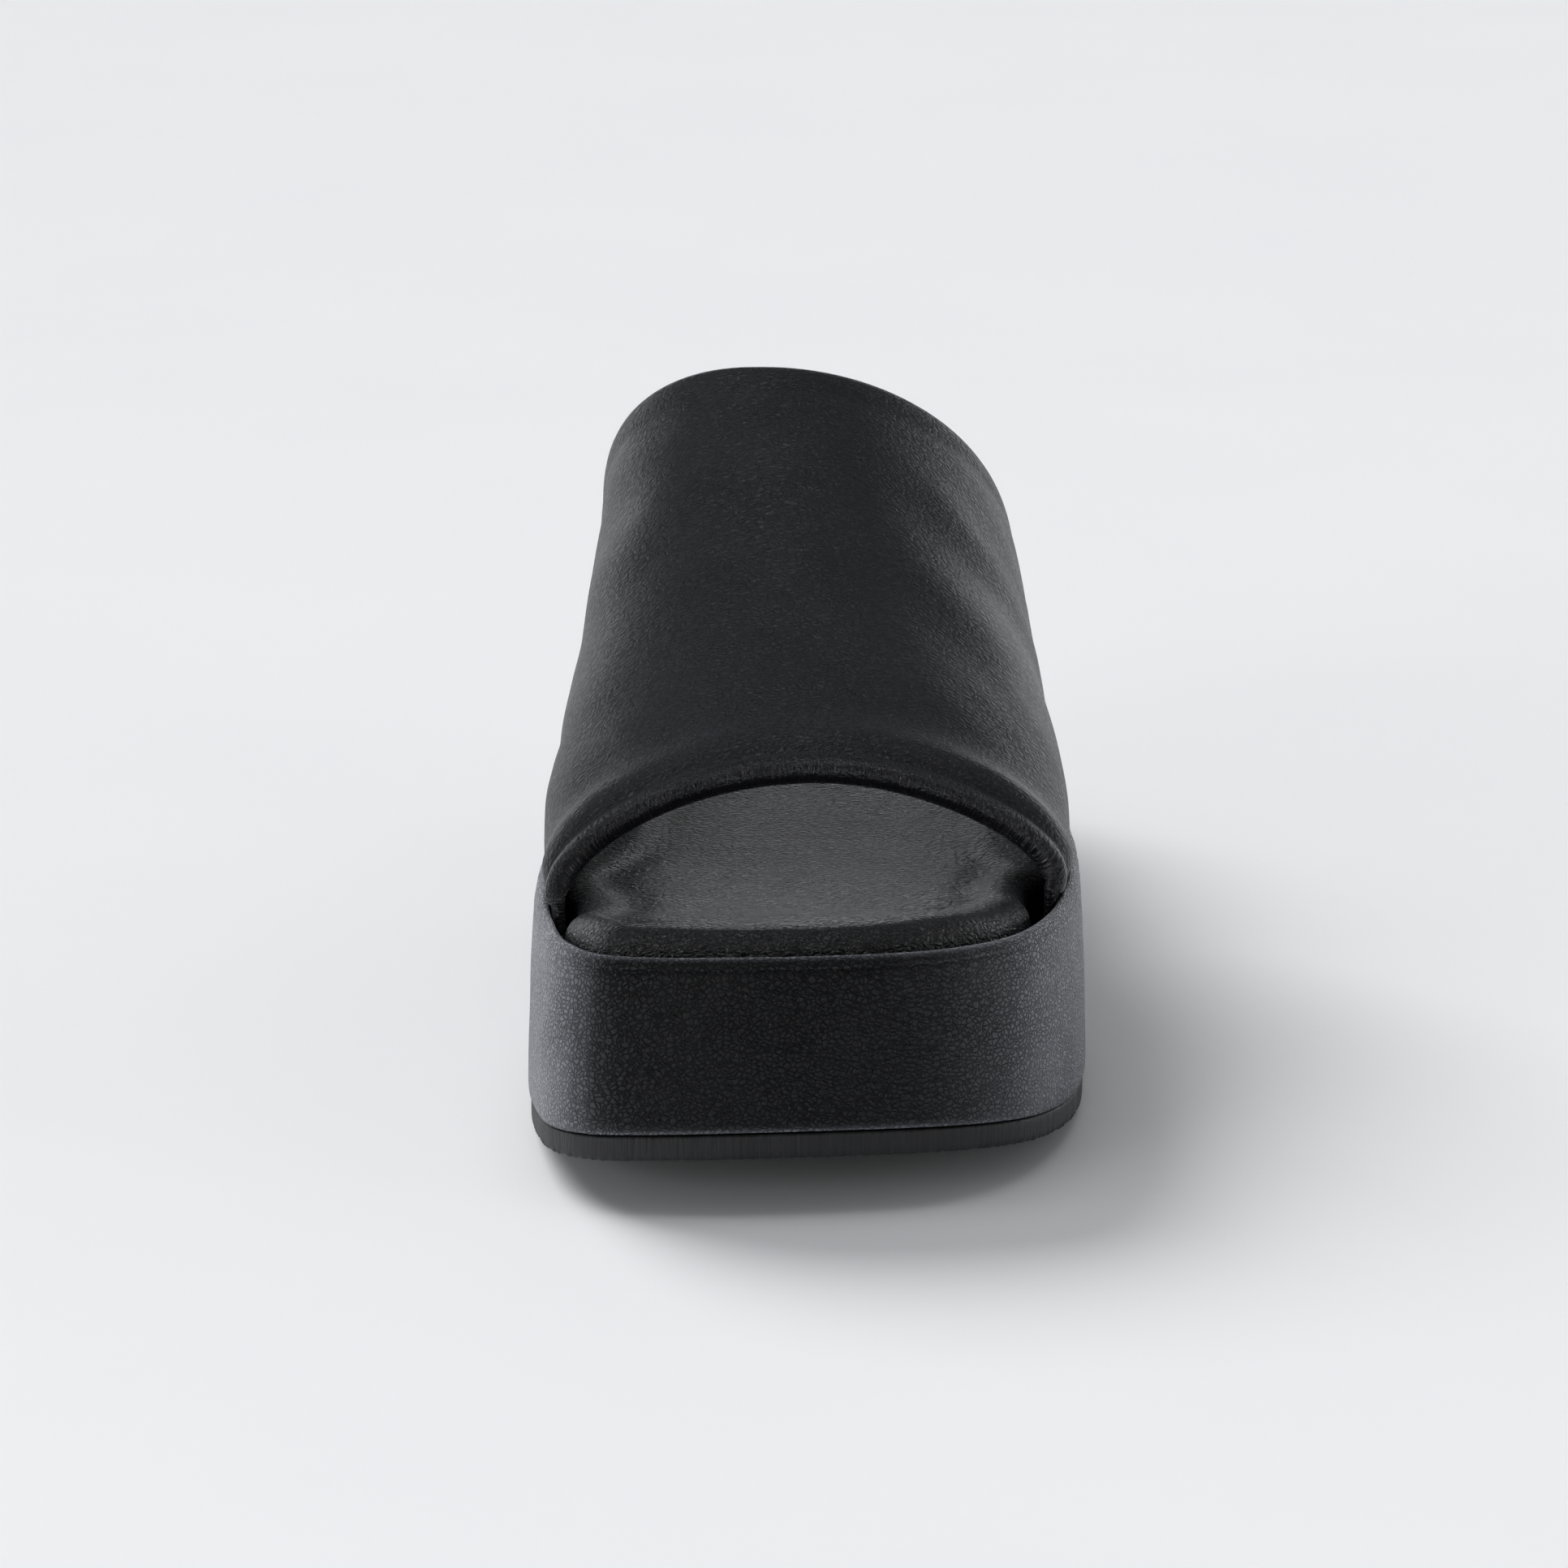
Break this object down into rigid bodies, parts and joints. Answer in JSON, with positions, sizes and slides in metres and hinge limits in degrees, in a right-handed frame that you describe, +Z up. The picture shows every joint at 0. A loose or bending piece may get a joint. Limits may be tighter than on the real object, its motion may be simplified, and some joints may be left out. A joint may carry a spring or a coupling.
{
  "type": "platform mule",
  "caption": "Left platform mule: a padded leather upper open at toe and heel, a moulded leather footbed, a leather covered wedge platform and a thin rubber outsole.",
  "frame": {"origin": "middle of the shoe's bounding box in plan, on the floor", "axes": "-Y towards the toe, +Y towards the heel, +X towards the outer side of the left foot, +Z up"},
  "size_m": [0.0988, 0.254, 0.1156],
  "materials": {
    "sole_rubber": "matt, edge buffed",
    "sole_foam": "matt foam, hidden",
    "cover_leather": "satin, milled grain",
    "footbed_leather": "satin, fine grain",
    "upper_leather": "soft satin, fine grain"
  },
  "bodies": {
    "root": {"outsole": "sole_rubber", "midsole": "sole_foam", "platform_cover": "cover_leather", "footbed": "footbed_leather", "upper": "upper_leather"}
  },
  "joints": []
}
